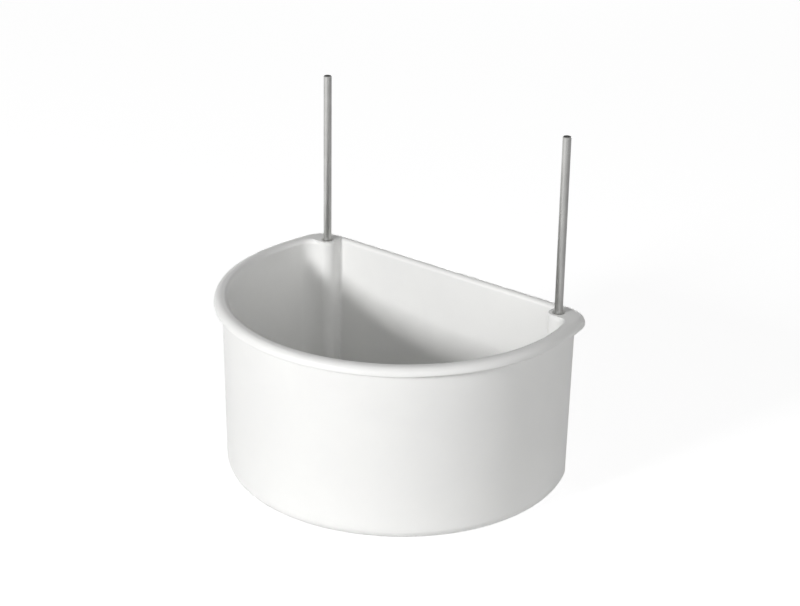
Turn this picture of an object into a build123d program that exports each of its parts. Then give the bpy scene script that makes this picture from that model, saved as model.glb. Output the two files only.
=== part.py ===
from build123d import *

import os
from math import asin, cos, degrees, radians, sin, tan

# Seed cup for hanging in a cage: a half-round plastic cup with two steel wire pins in its rear corners.
# Millimetres. +Z is up, -Y is the round front, +Y is the flat back.
# The origin is on the base, under the middle of the rim.

# Rim, seen from above
rim_width = 100.0  # across the widest place, which is also twice the radius of the round front
rim_side_depth = 22.4  # from the widest place to the back edge
rim_side_radius = 80.0  # bow of the two sides behind the widest place
rim_corner_radius = 8.4

# Lip of the rim in section: a round top, small radii underneath and a rounded turn into the cup
lip_round_radius = 2.0
lip_under_radius = 0.4
lip_cove_radius = 1.0  # where the underside of the lip runs into the wall
lip_inner_radius = 1.2  # where the top turns down into the cup
lip_least_flat = 0.05  # flat left between these radii at the back, where the rim is narrowest

# Wall of the cup
cup_height = 50.0
front_overhang = 2.2  # lip beyond the wall at the front and the sides
back_overhang = 1.6  # lip beyond the wall at the back
wall = 1.7
floor = 2.4
wall_draft = 0.8
back_draft = 0.5
wall_corner_radius = 3.8
base_edge_radius = 3.6
floor_edge_radius = 2.0

# Wire pins and the columns that hold them
pin_diameter = 2.25
pin_free_length = 48.4  # above the rim
pin_edge_break = 0.15
pin_side_inset = 9.75  # from the widest place of the rim to the pin's axis
pin_back_inset = 6.15  # from the back edge of the rim to the pin's axis
socket_depth = 31.0
socket_clearance = 0.03  # on the radius
socket_mouth_diameter = 3.6
socket_mouth_angle = 60.0
column_radius = 2.7
column_side_root = 4.0  # radius where a column runs into the side of the cup
column_back_root = 0.8  # radius where it runs into the back
column_top_inset = 0.05  # how far the column's crisp top stands back from its faces
near = 0.01  # how close an edge or face lies to the plane that it is looked up by

# Places that follow from the sizes above
rim_radius = rim_width / 2
rim_depth = rim_radius + rim_side_depth
center_y = rim_radius - rim_depth / 2  # centre of the round front
back_y = rim_depth / 2
nose_z = cup_height - lip_round_radius  # height of the lip's outermost line
lip_under_z = nose_z - lip_under_radius
pin_x = rim_radius - pin_side_inset
pin_y = back_y - pin_back_inset
inner_radius_limit = back_overhang + wall - lip_round_radius - lip_least_flat
cove_radius_limit = back_overhang - lip_under_radius - lip_least_flat


def d_outline(inset):
    """Draw the rim's outline, drawn in by an inset: round front, bowed sides, straight back."""
    front = rim_radius - inset
    side = rim_side_radius - inset
    corner = rim_corner_radius - inset
    corner_y = back_y - rim_corner_radius
    side_center_x = rim_radius - rim_side_radius
    turn = degrees(asin((corner_y - center_y) / (side - corner)))
    corner_x = side_center_x + (side - corner) * cos(radians(turn))
    rear_y = back_y - inset
    CenterArc((0, center_y), front, 180, 180)
    CenterArc((side_center_x, center_y), side, 0, turn)
    CenterArc((corner_x, corner_y), corner, turn, 90 - turn)
    Line((corner_x, rear_y), (-corner_x, rear_y))
    CenterArc((-corner_x, corner_y), corner, 90, 90 - turn)
    CenterArc((-side_center_x, center_y), side, 180 - turn, turn)


def column_outline(side, inset):
    """Draw one column's outline, its inner faces drawn in by an inset: rounded towards the cup's middle."""
    inner_x = side * (pin_x - column_radius + inset)
    front_y = pin_y - column_radius + inset
    Polyline(
        (inner_x, pin_y),
        (inner_x, back_y),
        (side * rim_radius, back_y),
        (side * rim_radius, front_y),
        (side * pin_x, front_y),
    )
    RadiusArc((side * pin_x, front_y), (inner_x, pin_y), side * (column_radius - inset))


def bowl_form(inset, bottom_z, top_z):
    """Make a solid bowl: a drafted round cut off by the back, drawn in from the outer wall by an inset."""
    top_radius = rim_radius - front_overhang - inset
    bottom_radius = top_radius - (top_z - bottom_z) * tan(radians(wall_draft))
    rear = Plane(
        origin=(0, back_y - back_overhang - inset, top_z),
        x_dir=(1, 0, 0),
        z_dir=(0, cos(radians(back_draft)), -sin(radians(back_draft))),
    )
    with BuildPart() as bowl:
        with BuildSketch(Plane.YZ):
            with BuildLine():
                Polyline(
                    (center_y, bottom_z),
                    (center_y - bottom_radius, bottom_z),
                    (center_y - top_radius, top_z),
                    (center_y, top_z),
                    close=True,
                )
            make_face()
        revolve(axis=Axis((0, center_y, 0), (0, 0, 1)))
        split(bisect_by=rear, keep=Keep.BOTTOM)
        upright = bowl.faces().sort_by(Axis.Y)[-1].edges().sort_by(Axis.X)
        fillet([upright[0], upright[-1]], wall_corner_radius - inset)
    return bowl.part


# Rim: the lip follows the outline round, and a plate fills it in
with BuildPart() as rim:
    with BuildLine(Plane.XY.offset(cup_height)):
        d_outline(0)
    with BuildSketch(Plane.XZ.offset(-center_y)):
        with BuildLine():
            CenterArc((lip_round_radius - rim_radius, nose_z), lip_round_radius, 90, 90)
            CenterArc((lip_under_radius - rim_radius, nose_z), lip_under_radius, 180, 90)
            Polyline(
                (lip_under_radius - rim_radius, lip_under_z),
                (lip_round_radius - rim_radius, lip_under_z),
                (lip_round_radius - rim_radius, cup_height),
            )
        make_face()
    sweep()
    with BuildSketch(Plane.XY.offset(lip_under_z)):
        with BuildLine():
            d_outline(lip_round_radius)
        make_face()
    extrude(amount=cup_height - lip_under_z)

# Columns: one in each rear corner, as high as the cup
with BuildPart() as columns:
    for side in (-1, 1):
        with BuildSketch(Plane.XY.offset(floor)):
            with BuildLine():
                column_outline(side, 0)
            make_face()
        extrude(amount=cup_height - floor)

# Crisp tops of the columns, as far out as the lip's round
with BuildPart() as column_tops:
    for side in (-1, 1):
        with BuildSketch(Plane.XY.offset(nose_z)):
            with BuildLine():
                column_outline(side, column_top_inset)
            make_face()
            with BuildLine():
                d_outline(lip_round_radius)
            make_face(mode=Mode.INTERSECT)
        extrude(amount=lip_round_radius)

# Wall of the cup, still solid
with BuildPart() as body:
    add(bowl_form(0, 0, nose_z))
    fillet(body.faces().sort_by(Axis.Z)[0].edges(), base_edge_radius)

# Space inside the cup, with the columns left standing in it
with BuildPart() as hollow:
    add(bowl_form(wall, floor, cup_height))
    add(columns.part, mode=Mode.SUBTRACT)
    column_front_y = pin_y - column_radius
    front_edges = hollow.edges().filter_by_position(Axis.Y, column_front_y - near, column_front_y + near)
    fillet([front_edges.sort_by(Axis.X)[0], front_edges.sort_by(Axis.X)[-1]], column_side_root)
    fillet(hollow.faces().sort_by(Axis.Z)[0].edges(), floor_edge_radius)
    for column_inner_x in (column_radius - pin_x, pin_x - column_radius):
        inner_edges = hollow.edges().filter_by_position(Axis.X, column_inner_x - near, column_inner_x + near)
        fillet(inner_edges.sort_by(Axis.Y)[-1], column_back_root)

# Cup: wall, floor, rim and columns in one moulding
with BuildPart() as cup:
    add(body.part)
    add(rim.part)
    underside = cup.faces().filter_by_position(Axis.Z, lip_under_z - near, lip_under_z + near)[0]
    fillet(underside.inner_wires()[0].edges(), min(lip_cove_radius, cove_radius_limit))
    add(hollow.part, mode=Mode.SUBTRACT)
    mouth = cup.faces().sort_by(Axis.Z)[-1].inner_wires()[0]
    fillet(mouth.edges(), min(lip_inner_radius, inner_radius_limit))
    add(column_tops.part)
    with Locations((-pin_x, pin_y, cup_height), (pin_x, pin_y, cup_height)):
        CounterSinkHole(
            radius=pin_diameter / 2 + socket_clearance,
            counter_sink_radius=socket_mouth_diameter / 2,
            depth=socket_depth,
            counter_sink_angle=socket_mouth_angle,
        )
cup.part.label = "cup"

# Pins: straight cut wire, standing on the floors of their sockets
with BuildPart() as pin_left:
    with Locations((-pin_x, pin_y, cup_height - socket_depth)):
        Cylinder(
            radius=pin_diameter / 2,
            height=socket_depth + pin_free_length,
            align=(Align.CENTER, Align.CENTER, Align.MIN),
        )
    chamfer(pin_left.edges().filter_by(GeomType.CIRCLE), pin_edge_break)
pin_left.part.label = "pin_left"

with BuildPart() as pin_right:
    add(pin_left.part.mirror(Plane.YZ))
pin_right.part.label = "pin_right"

os.makedirs("parts", exist_ok=True)
for piece in (cup, pin_left, pin_right):
    export_step(piece.part, f"parts/{piece.part.label}.step")
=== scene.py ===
import logging
from dataclasses import dataclass, field
from enum import Enum
from math import cos, pi, radians, sin
from typing import Any, Mapping, Optional

import bpy
from mathutils import Matrix, Quaternion, Vector

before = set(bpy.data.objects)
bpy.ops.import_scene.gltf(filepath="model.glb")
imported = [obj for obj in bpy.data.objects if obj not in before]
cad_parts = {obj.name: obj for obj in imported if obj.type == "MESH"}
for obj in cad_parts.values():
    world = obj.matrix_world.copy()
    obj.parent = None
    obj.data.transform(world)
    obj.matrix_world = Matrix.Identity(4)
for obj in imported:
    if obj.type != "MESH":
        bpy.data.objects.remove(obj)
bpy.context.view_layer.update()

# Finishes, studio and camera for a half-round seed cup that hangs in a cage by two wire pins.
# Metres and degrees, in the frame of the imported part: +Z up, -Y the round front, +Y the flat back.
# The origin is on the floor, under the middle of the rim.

MM = 0.001

# The sRGB curve: a straight line up to the knee, and a power above it
SRGB_TOP = 255
SRGB_KNEE = 0.04045
SRGB_SLOPE = 12.92
SRGB_OFFSET = 0.055
SRGB_POWER = 2.4

# Sockets of a Mix node by number, because their names repeat from one kind of data to the next
FACTOR, FLOAT_A, FLOAT_B, COLOUR_A, COLOUR_B = 0, 2, 3, 6, 7
FLOAT_OUT, COLOUR_OUT = 0, 2

WAVE_RADIANS = 20.0  # how far a wave texture turns over one unit, at a scale of one

log = logging.getLogger("seed_cup")


def linear(colour: str) -> tuple[float, float, float, float]:
    """Turn an sRGB hex colour into the linear colour that a shader takes.

    Args:
        colour: Six hex digits after a hash sign.

    Returns:
        Linear red, green, blue and an alpha of one.
    """
    channels = [byte / SRGB_TOP for byte in bytes.fromhex(colour[1:])]
    red, green, blue = (
        c / SRGB_SLOPE if c <= SRGB_KNEE else ((c + SRGB_OFFSET) / (1 + SRGB_OFFSET)) ** SRGB_POWER
        for c in channels)
    return red, green, blue, 1.0


def add_node(tree: bpy.types.NodeTree, kind: str, feeds: Optional[Mapping[Any, Any]] = None,
             **settings: Any) -> bpy.types.Node:
    """Add one node, set its own settings, and set or link its sockets.

    Args:
        tree: Node tree that takes the node.
        kind: Blender's name for the node's type.
        feeds: Socket name or number to a plain value, or to the output socket that feeds it.
        settings: Settings of the node itself.

    Returns:
        The new node.
    """
    node = tree.nodes.new(kind)
    for name, value in settings.items():
        setattr(node, name, value)
    for socket, value in (feeds or {}).items():
        if isinstance(value, bpy.types.NodeSocket):
            tree.links.new(value, node.inputs[socket])
        else:
            node.inputs[socket].default_value = value
    return node


def bent_rays(tree: bpy.types.NodeTree) -> bpy.types.NodeSocket:
    """Tell what is seen in a reflection or through glass from what is seen or lit straight.

    Args:
        tree: Node tree of a material or the world.

    Returns:
        A socket that gives one for reflected and transmitted rays and zero for all others.
    """
    path = add_node(tree, "ShaderNodeLightPath")
    bent = add_node(tree, "ShaderNodeMath", {
        0: path.outputs["Is Glossy Ray"], 1: path.outputs["Is Transmission Ray"]}, operation="MAXIMUM")
    return bent.outputs["Value"]


def empty_material(name: str) -> bpy.types.Material:
    """Make a material with an empty node tree.

    Args:
        name: Name for the material.

    Returns:
        The material, with no nodes in it.
    """
    material = bpy.data.materials.new(name)
    material.use_nodes = True
    material.node_tree.nodes.clear()
    return material


def cover(node: str, material: bpy.types.Material) -> bpy.types.Object:
    """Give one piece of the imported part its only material.

    Args:
        node: Name of the piece.
        material: Material that covers it.

    Returns:
        The piece's object.
    """
    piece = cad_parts[node]
    piece.data.materials.clear()
    piece.data.materials.append(material)
    return piece


def per_mm(size: float) -> float:
    """Give the texture scale, per metre, at which one feature is this many millimetres long."""
    return 1.0 / (size * MM)


def towards(azimuth: float, elevation: float) -> Vector:
    """Give the direction of a place in the studio.

    Args:
        azimuth: Degrees round from the cup's front, positive to its right.
        elevation: Degrees above the floor.

    Returns:
        The direction, one unit long.
    """
    turn, rise = radians(azimuth), radians(elevation)
    return Vector((sin(turn) * cos(rise), -cos(turn) * cos(rise), sin(rise)))


@dataclass(frozen=True)
class MouldedPolypropylene:
    """White polypropylene from a polished injection mould.

    Pigmented white all through, so it shows a soft even body colour under a satin skin. The polished tool
    leaves no grain to the naked eye, only a faint flow in the gloss and an orange-peel ripple in the
    highlights.
    """

    name: str = "moulded_polypropylene_white"
    colour: str = "#EEEEEC"
    colour_thin_flow: str = "#E9E9E8"
    ior: float = 1.49
    roughness: float = 0.42
    roughness_flow: float = 0.06
    flow_mm: float = 14.0
    flow_distortion: float = 0.6
    flow_low: float = 0.3  # values of the flow at which the gloss is at its two ends
    flow_high: float = 0.7
    ripple_mm: float = 2.4
    ripple_detail: float = 1.0
    ripple_depth_mm: float = 0.006
    grain_mm: float = 0.45  # the real tool marks are some 0.05 mm apart: drawn coarser so that they can show
    grain_depth_mm: float = 0.0012
    scatter_weight: float = 0.12
    scatter_mm: float = 1.2
    scatter_share: tuple[float, float, float] = (1.0, 1.0, 1.0)  # white scatters all colours alike

    def material(self) -> bpy.types.Material:
        """Build the material.

        Returns:
            The finished material.
        """
        made = empty_material(self.name)
        tree = made.node_tree
        place = add_node(tree, "ShaderNodeTexCoord").outputs["Object"]
        flow = add_node(tree, "ShaderNodeTexNoise", {
            "Vector": place, "Scale": per_mm(self.flow_mm), "Distortion": self.flow_distortion})
        tone = add_node(tree, "ShaderNodeMix", {
            FACTOR: flow.outputs["Fac"], COLOUR_A: linear(self.colour_thin_flow),
            COLOUR_B: linear(self.colour)}, data_type="RGBA")
        gloss = add_node(tree, "ShaderNodeMapRange", {
            "Value": flow.outputs["Fac"], "From Min": self.flow_low, "From Max": self.flow_high,
            "To Min": self.roughness - self.roughness_flow,
            "To Max": self.roughness + self.roughness_flow})
        ripple = add_node(tree, "ShaderNodeTexNoise", {
            "Vector": place, "Scale": per_mm(self.ripple_mm), "Detail": self.ripple_detail})
        grain = add_node(tree, "ShaderNodeTexNoise", {"Vector": place, "Scale": per_mm(self.grain_mm)})
        rippled = add_node(tree, "ShaderNodeBump", {
            "Distance": self.ripple_depth_mm * MM, "Height": ripple.outputs["Fac"]})
        grained = add_node(tree, "ShaderNodeBump", {
            "Distance": self.grain_depth_mm * MM, "Height": grain.outputs["Fac"],
            "Normal": rippled.outputs["Normal"]})
        skin = add_node(tree, "ShaderNodeBsdfPrincipled", {
            "Base Color": tone.outputs[COLOUR_OUT], "Roughness": gloss.outputs["Result"], "IOR": self.ior,
            "Subsurface Weight": self.scatter_weight, "Subsurface Radius": self.scatter_share,
            "Subsurface Scale": self.scatter_mm * MM, "Normal": grained.outputs["Normal"]})
        add_node(tree, "ShaderNodeOutputMaterial", {"Surface": skin.outputs["BSDF"]})
        return made


@dataclass(frozen=True)
class DrawnSteelWire:
    """Bright steel wire, drawn through a die, straightened and sheared to length.

    Drawing leaves fine lines along the wire, which widen its highlights across it. The sheared ends are
    dull, with the marks of the blade across them, and dark: partly the duller sheared steel and partly
    painted shade for the dark reflection from above.
    """

    name: str = "drawn_steel_wire"
    colour: str = "#D2D2D0"
    colour_in_lines: str = "#B0B0AE"
    # dull sheared steel, darkened with painted shade for the dark reflection from above
    colour_sheared_painted_shade: str = "#3A3A38"
    metallic: float = 1.0
    roughness: float = 0.34
    roughness_lines: float = 0.10
    roughness_sheared: float = 0.6
    line_mm: float = 0.16  # the real lines are some 0.03 mm apart: drawn coarser so that they can show
    line_length_mm: float = 9.0
    line_break_up: float = 0.6
    line_depth_mm: float = 0.004
    dull_patch_mm: float = 5.0
    dull_patch_detail: float = 3.0
    worn_low: float = 0.65  # values of lines and patches together at which the wire is dullest and brightest
    worn_high: float = 1.35
    end_from: float = 0.6  # how far up or down a face looks where the sheared end and its painted shade start and are full
    end_full: float = 0.95
    shear_mark_mm: float = 1.38  # the real marks are some 0.2 mm apart: drawn coarser so that they can show
    shear_distortion: float = 3.0

    def material(self) -> bpy.types.Material:
        """Build the material.

        Returns:
            The finished material.
        """
        made = empty_material(self.name)
        tree = made.node_tree
        place = add_node(tree, "ShaderNodeTexCoord").outputs["Object"]
        along = add_node(tree, "ShaderNodeVectorMath", {
            0: place, 1: (per_mm(self.line_mm), per_mm(self.line_mm), per_mm(self.line_length_mm))},
            operation="MULTIPLY")
        lines = add_node(tree, "ShaderNodeTexNoise", {
            "Vector": along.outputs["Vector"], "Scale": 1.0, "Roughness": self.line_break_up})
        dull = add_node(tree, "ShaderNodeTexNoise", {
            "Vector": place, "Scale": per_mm(self.dull_patch_mm), "Detail": self.dull_patch_detail})
        worn = add_node(tree, "ShaderNodeMath", {
            0: lines.outputs["Fac"], 1: dull.outputs["Fac"]}, operation="ADD")
        share = add_node(tree, "ShaderNodeMapRange", {
            "Value": worn.outputs["Value"], "From Min": self.worn_low, "From Max": self.worn_high})
        facing = add_node(tree, "ShaderNodeSeparateXYZ", {
            "Vector": add_node(tree, "ShaderNodeNewGeometry").outputs["True Normal"]})
        upright = add_node(tree, "ShaderNodeMath", {0: facing.outputs["Z"]}, operation="ABSOLUTE")
        end_with_painted_shade = add_node(tree, "ShaderNodeMapRange", {
            "Value": upright.outputs["Value"], "From Min": self.end_from, "From Max": self.end_full})
        shear = add_node(tree, "ShaderNodeTexWave", {
            "Vector": place, "Scale": 2 * pi * per_mm(self.shear_mark_mm) / WAVE_RADIANS,
            "Distortion": self.shear_distortion})
        drawn = add_node(tree, "ShaderNodeMix", {
            FACTOR: share.outputs["Result"], COLOUR_A: linear(self.colour_in_lines),
            COLOUR_B: linear(self.colour)}, data_type="RGBA")
        # the ends take the dark colour: dull sheared steel with painted shade for the dark reflection from
        # above
        colour = add_node(tree, "ShaderNodeMix", {
            FACTOR: end_with_painted_shade.outputs["Result"], COLOUR_A: drawn.outputs[COLOUR_OUT],
            COLOUR_B: linear(self.colour_sheared_painted_shade)}, data_type="RGBA")
        gloss = add_node(tree, "ShaderNodeMapRange", {
            "Value": worn.outputs["Value"], "From Min": self.worn_low, "From Max": self.worn_high,
            "To Min": self.roughness + self.roughness_lines,
            "To Max": self.roughness - self.roughness_lines})
        rough = add_node(tree, "ShaderNodeMix", {
            FACTOR: end_with_painted_shade.outputs["Result"], FLOAT_A: gloss.outputs["Result"],
            FLOAT_B: self.roughness_sheared}, data_type="FLOAT")
        relief = add_node(tree, "ShaderNodeMix", {
            FACTOR: end_with_painted_shade.outputs["Result"], FLOAT_A: lines.outputs["Fac"],
            FLOAT_B: shear.outputs["Fac"]}, data_type="FLOAT")
        scored = add_node(tree, "ShaderNodeBump", {
            "Distance": self.line_depth_mm * MM, "Height": relief.outputs[FLOAT_OUT]})
        skin = add_node(tree, "ShaderNodeBsdfPrincipled", {
            "Base Color": colour.outputs[COLOUR_OUT], "Metallic": self.metallic,
            "Roughness": rough.outputs[FLOAT_OUT], "Normal": scored.outputs["Normal"]})
        add_node(tree, "ShaderNodeOutputMaterial", {"Surface": skin.outputs["BSDF"]})
        return made


@dataclass(frozen=True)
class PaintedFloor:
    """Matt white studio floor.

    The camera sees it as white paint that keeps a soft shadow. Bright metal and satin plastic mirror it lit
    on the left and falling into shade on the right. Everything else gets only the light that it sends back.
    """

    name: str = "painted_floor_white"
    colour: str = "#EDEDED"
    cloud_mm: float = 40.0
    roughness_low: float = 0.85
    roughness_high: float = 1.0
    glow: float = 0.88  # what the camera sees without a lamp, where one is white
    shadow_share: float = 0.3  # share of the lamps' light and shadow that the camera sees on top of it
    mirrored_lit: float = 1.0
    mirrored_shade: float = 0.45
    shade_azimuth: float = 129.0
    lit_until: float = -0.15  # metres towards the shade
    shade_from: float = 0.25

    def material(self) -> bpy.types.Material:
        """Build the material.

        Returns:
            The finished material.
        """
        made = empty_material(self.name)
        tree = made.node_tree
        place = add_node(tree, "ShaderNodeTexCoord").outputs["Object"]
        cloud = add_node(tree, "ShaderNodeTexNoise", {"Vector": place, "Scale": per_mm(self.cloud_mm)})
        rough = add_node(tree, "ShaderNodeMapRange", {
            "Value": cloud.outputs["Fac"], "To Min": self.roughness_low, "To Max": self.roughness_high})
        matt = add_node(tree, "ShaderNodeBsdfDiffuse", {
            "Color": linear(self.colour), "Roughness": rough.outputs["Result"]})
        shadowed = add_node(tree, "ShaderNodeBsdfDiffuse", {"Color": (self.shadow_share,) * 3 + (1.0,)})
        white = add_node(tree, "ShaderNodeEmission", {"Strength": self.glow})
        seen = add_node(tree, "ShaderNodeAddShader", {
            0: shadowed.outputs["BSDF"], 1: white.outputs["Emission"]})
        aside = add_node(tree, "ShaderNodeVectorMath", {
            0: place, 1: towards(self.shade_azimuth, 0.0)}, operation="DOT_PRODUCT")
        falling = add_node(tree, "ShaderNodeMapRange", {
            "Value": aside.outputs["Value"], "From Min": self.lit_until, "From Max": self.shade_from,
            "To Min": self.mirrored_lit, "To Max": self.mirrored_shade})
        mirrored = add_node(tree, "ShaderNodeEmission", {"Strength": falling.outputs["Result"]})
        path = add_node(tree, "ShaderNodeLightPath")
        plain = add_node(tree, "ShaderNodeMixShader", {
            0: path.outputs["Is Camera Ray"], 1: matt.outputs["BSDF"], 2: seen.outputs["Shader"]})
        both = add_node(tree, "ShaderNodeMixShader", {
            0: bent_rays(tree), 1: plain.outputs["Shader"], 2: mirrored.outputs["Emission"]})
        add_node(tree, "ShaderNodeOutputMaterial", {"Surface": both.outputs["Shader"]})
        return made


class Side(Enum):
    """Side of the cup that a pin stands on, seen from the round front."""

    LEFT = "left"
    RIGHT = "right"


@dataclass
class SeedCup:
    """The moulded cup: wall, floor, lip and the two columns, all one piece."""

    node: str = "cup"
    finish: MouldedPolypropylene = field(default_factory=MouldedPolypropylene)

    def dress(self) -> bpy.types.Object:
        """Give the cup its plastic."""
        return cover(self.node, self.finish.material())


@dataclass
class WirePin:
    """One straight wire pin, pushed into its column."""

    side: Side
    steel: bpy.types.Material

    def dress(self) -> bpy.types.Object:
        """Give the pin its drawn steel."""
        return cover(f"pin_{self.side.value}", self.steel)


@dataclass(frozen=True)
class Glow:
    """Soft bright part of the surroundings, such as a lit wall or a window blind."""

    azimuth: float
    elevation: float
    strength: float
    tightness: float = 6.0


@dataclass(frozen=True)
class SoftLamp:
    """Lamp behind a diffuser, aimed at the cup. Metres and watts."""

    name: str
    azimuth: float
    elevation: float
    width: float
    height: float
    power: float
    distance: float = 0.9
    aim_mm: float = 40.0

    def hang(self) -> None:
        """Hang the lamp in its place, turned to the cup."""
        data = bpy.data.lights.new(self.name, "AREA")
        data.shape = "RECTANGLE"
        data.size, data.size_y = self.width, self.height
        data.energy = self.power
        away = towards(self.azimuth, self.elevation)
        lamp = bpy.data.objects.new(self.name, data)
        lamp.location = Vector((0.0, 0.0, self.aim_mm * MM)) + away * self.distance
        lamp.rotation_mode = "QUATERNION"
        lamp.rotation_quaternion = (-away).to_track_quat("-Z", "Y")
        bpy.context.scene.collection.objects.link(lamp)


@dataclass
class Studio:
    """Floor, surroundings and lamps.

    A low key lamp stands in front of the cup and a soft one to its right. A strip lamp near the floor behind
    it lights its back and stays below the top of the lip.
    """

    floor_half: float = 4.0
    floor_gap_mm: float = 0.02
    surround_colour: str = "#E7E7E7"
    glows: tuple[Glow, ...] = (
        Glow(azimuth=-30.0, elevation=45.0, strength=0.70),
        Glow(azimuth=90.0, elevation=45.0, strength=0.29),
        Glow(azimuth=135.0, elevation=10.0, strength=0.72),
    )
    lamps: tuple[SoftLamp, ...] = (
        SoftLamp("key", azimuth=-9.1, elevation=18.3, width=0.16, height=0.14, power=5.9),
        SoftLamp("fill_right", azimuth=60.0, elevation=20.0, width=0.6, height=0.5, power=2.6),
        SoftLamp("fill_back", azimuth=-145.0, elevation=0.0, width=0.5, height=0.04, power=2.5, aim_mm=22.0),
    )

    def lay_floor(self) -> None:
        """Lay the floor just under the cup."""
        half = self.floor_half
        corners = [(-half, -half, 0), (half, -half, 0), (half, half, 0), (-half, half, 0)]
        mesh = bpy.data.meshes.new("floor")
        mesh.from_pydata(corners, [], [range(len(corners))])
        mesh.materials.append(PaintedFloor().material())
        floor = bpy.data.objects.new("floor", mesh)
        floor.location.z = -self.floor_gap_mm * MM
        bpy.context.scene.collection.objects.link(floor)

    def light_surroundings(self) -> None:
        """Light the scene softly from the glows, and show a pale tone to the camera and in reflections."""
        world = bpy.data.worlds.new("studio")
        world.use_nodes = True
        tree = world.node_tree
        tree.nodes.clear()
        place = add_node(tree, "ShaderNodeTexCoord").outputs["Generated"]
        level: Any = 0.0
        for glow in self.glows:
            facing = add_node(tree, "ShaderNodeVectorMath", {
                0: place, 1: towards(glow.azimuth, glow.elevation)}, operation="DOT_PRODUCT")
            ahead = add_node(tree, "ShaderNodeMath", {
                0: facing.outputs["Value"], 1: 0.0}, operation="MAXIMUM")
            falling = add_node(tree, "ShaderNodeMath", {
                0: ahead.outputs["Value"], 1: glow.tightness}, operation="POWER")
            added = add_node(tree, "ShaderNodeMath", {
                0: falling.outputs["Value"], 1: glow.strength, 2: level}, operation="MULTIPLY_ADD")
            level = added.outputs["Value"]
        tone = linear(self.surround_colour)
        around = add_node(tree, "ShaderNodeBackground", {"Color": tone, "Strength": level})
        pale = add_node(tree, "ShaderNodeBackground", {"Color": tone, "Strength": 1.0})
        path = add_node(tree, "ShaderNodeLightPath")
        shown = add_node(tree, "ShaderNodeMath", {
            0: path.outputs["Is Camera Ray"], 1: bent_rays(tree)}, operation="MAXIMUM")
        both = add_node(tree, "ShaderNodeMixShader", {
            0: shown.outputs["Value"], 1: around.outputs["Background"], 2: pale.outputs["Background"]})
        add_node(tree, "ShaderNodeOutputWorld", {"Surface": both.outputs["Shader"]})
        bpy.context.scene.world = world

    def build(self) -> None:
        """Set up the whole studio."""
        self.lay_floor()
        self.light_surroundings()
        for lamp in self.lamps:
            lamp.hang()


@dataclass
class PhotoCamera:
    """Camera at the photograph's place, worked out from the outlines of the rim, the wall and the pins."""

    lens_mm: float = 90.18
    sensor_mm: float = 36.0
    clip: tuple[float, float] = (0.01, 50.0)
    azimuth: float = 38.927
    elevation: float = 22.874
    roll: float = 0.916
    distance_mm: float = 538.852
    aim_mm: tuple[float, float, float] = (0.0, 13.63, 46.643)

    def build(self) -> None:
        """Set the camera up and make it the scene's own."""
        data = bpy.data.cameras.new("photo_camera")
        data.lens = self.lens_mm
        data.sensor_fit = "HORIZONTAL"
        data.sensor_width = self.sensor_mm
        data.clip_start, data.clip_end = self.clip
        away = towards(self.azimuth, self.elevation)
        place = (Vector(self.aim_mm) + away * self.distance_mm) * MM
        turned = (-away).to_track_quat("-Z", "Y") @ Quaternion((0.0, 0.0, 1.0), radians(self.roll))
        camera = bpy.data.objects.new("photo_camera", data)
        camera.matrix_world = Matrix.Translation(place) @ turned.to_matrix().to_4x4()
        bpy.context.scene.collection.objects.link(camera)
        bpy.context.scene.camera = camera


def main() -> None:
    """Dress the cup and its pins, then build the studio and the camera."""
    logging.basicConfig(level=logging.INFO, format="%(name)s: %(message)s")
    cup = SeedCup().dress()
    log.info("dressed %s", cup.name)
    steel = DrawnSteelWire().material()
    for side in Side:
        pin = WirePin(side, steel).dress()
        log.info("dressed %s", pin.name)
    Studio().build()
    PhotoCamera().build()
    bpy.context.scene.view_settings.view_transform = "Standard"


if __name__ == "__main__":
    main()
